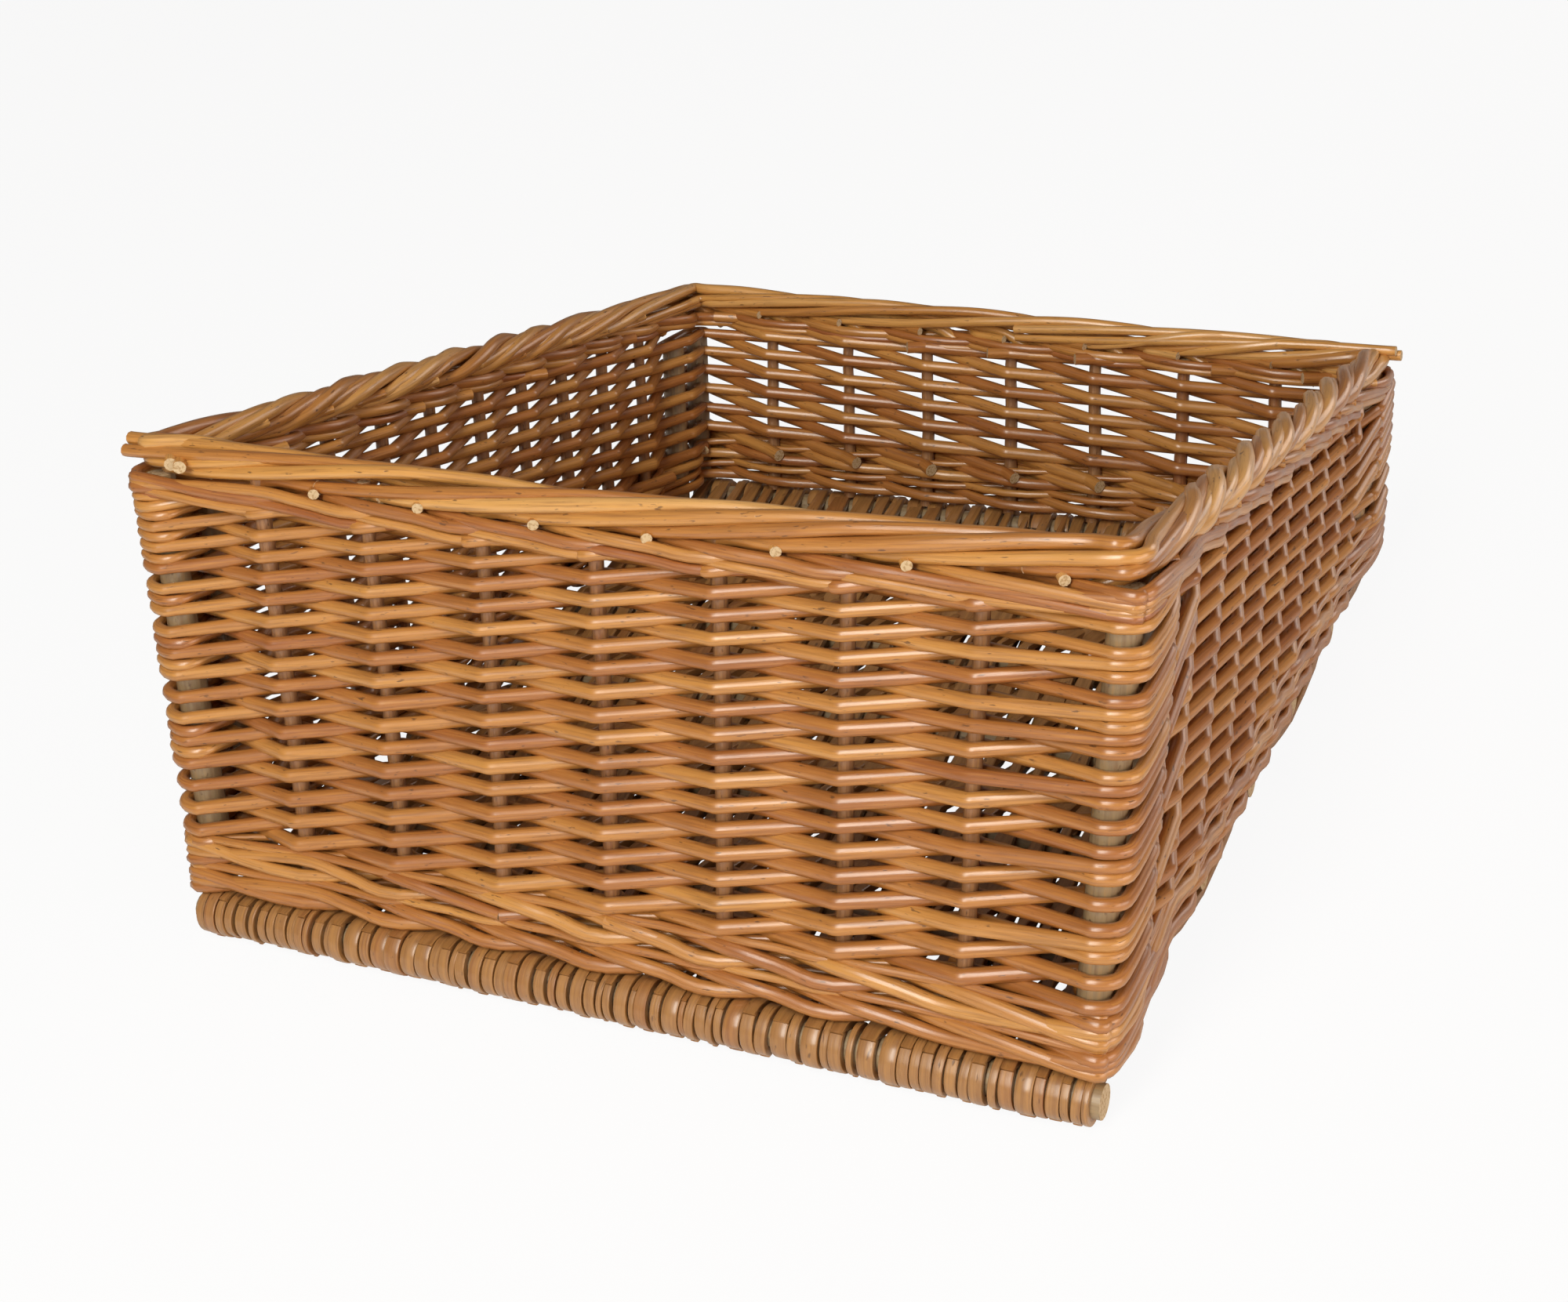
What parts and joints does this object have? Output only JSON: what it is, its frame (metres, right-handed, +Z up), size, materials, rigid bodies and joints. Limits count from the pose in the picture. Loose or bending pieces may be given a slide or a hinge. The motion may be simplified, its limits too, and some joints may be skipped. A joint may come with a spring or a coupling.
{
  "type": "wicker shelf basket",
  "caption": "Open wedge-shaped willow shelf basket with a tall back wall, a lower opposite wall, sloping side rims, woven walls on stakes, a rolled border and a lapped base.",
  "frame": {"origin": "centre of the underside of the base, on the plane the basket rests on", "axes": "+Z up; +Y from the tall wall towards the low wall; +X along the tall wall, to the right as seen from outside it"},
  "size_m": [0.4176, 0.4801, 0.212],
  "materials": {
    "weave_willow": "varnished buff willow",
    "border_willow": "varnished buff willow",
    "stake_willow": "dark varnished willow",
    "grey_stick": "peeled stick, unstained"
  },
  "bodies": {
    "root": {"tall_post_a": "grey_stick", "tall_post_b": "grey_stick", "tall_stake_1": "stake_willow", "tall_stake_2": "stake_willow", "tall_stake_3": "stake_willow", "tall_stake_4": "stake_willow", "tall_stake_5": "stake_willow", "tall_stake_6": "stake_willow", "tall_stake_7": "stake_willow", "right_post_a": "grey_stick", "right_post_b": "grey_stick", "right_stake_1": "stake_willow", "right_stake_2": "stake_willow", "right_stake_3": "stake_willow", "right_stake_4": "stake_willow", "right_stake_5": "stake_willow", "right_stake_6": "stake_willow", "right_stake_7": "stake_willow", "right_stake_8": "stake_willow", "right_stake_9": "stake_willow", "low_post_a": "grey_stick", "low_post_b": "grey_stick", "low_stake_1": "stake_willow", "low_stake_2": "stake_willow", "low_stake_3": "stake_willow", "low_stake_4": "stake_willow", "low_stake_5": "stake_willow", "low_stake_6": "stake_willow", "low_stake_7": "stake_willow", "left_post_a": "grey_stick", "left_post_b": "grey_stick", "left_stake_1": "stake_willow", "left_stake_2": "stake_willow", "left_stake_3": "stake_willow", "left_stake_4": "stake_willow", "left_stake_5": "stake_willow", "left_stake_6": "stake_willow", "left_stake_7": "stake_willow", "left_stake_8": "stake_willow", "left_stake_9": "stake_willow", "tall_wall_rand": "weave_willow", "low_wall_rand": "weave_willow", "right_wall_rand": "weave_willow", "left_wall_rand": "weave_willow", "upset_wale_rod_1": "weave_willow", "upset_wale_rod_2": "weave_willow", "upset_wale_rod_3": "weave_willow", "top_wale_rod_1": "weave_willow", "top_wale_rod_2": "weave_willow", "border_rod_1": "border_willow", "border_rod_2": "border_willow", "border_rod_3": "border_willow", "base_stick_1": "grey_stick", "base_stick_2": "grey_stick", "base_stick_3": "grey_stick", "base_stick_4": "grey_stick", "base_stick_5": "grey_stick", "base_stick_6": "grey_stick", "base_stick_7": "grey_stick", "base_weave": "weave_willow"}
  },
  "joints": []
}
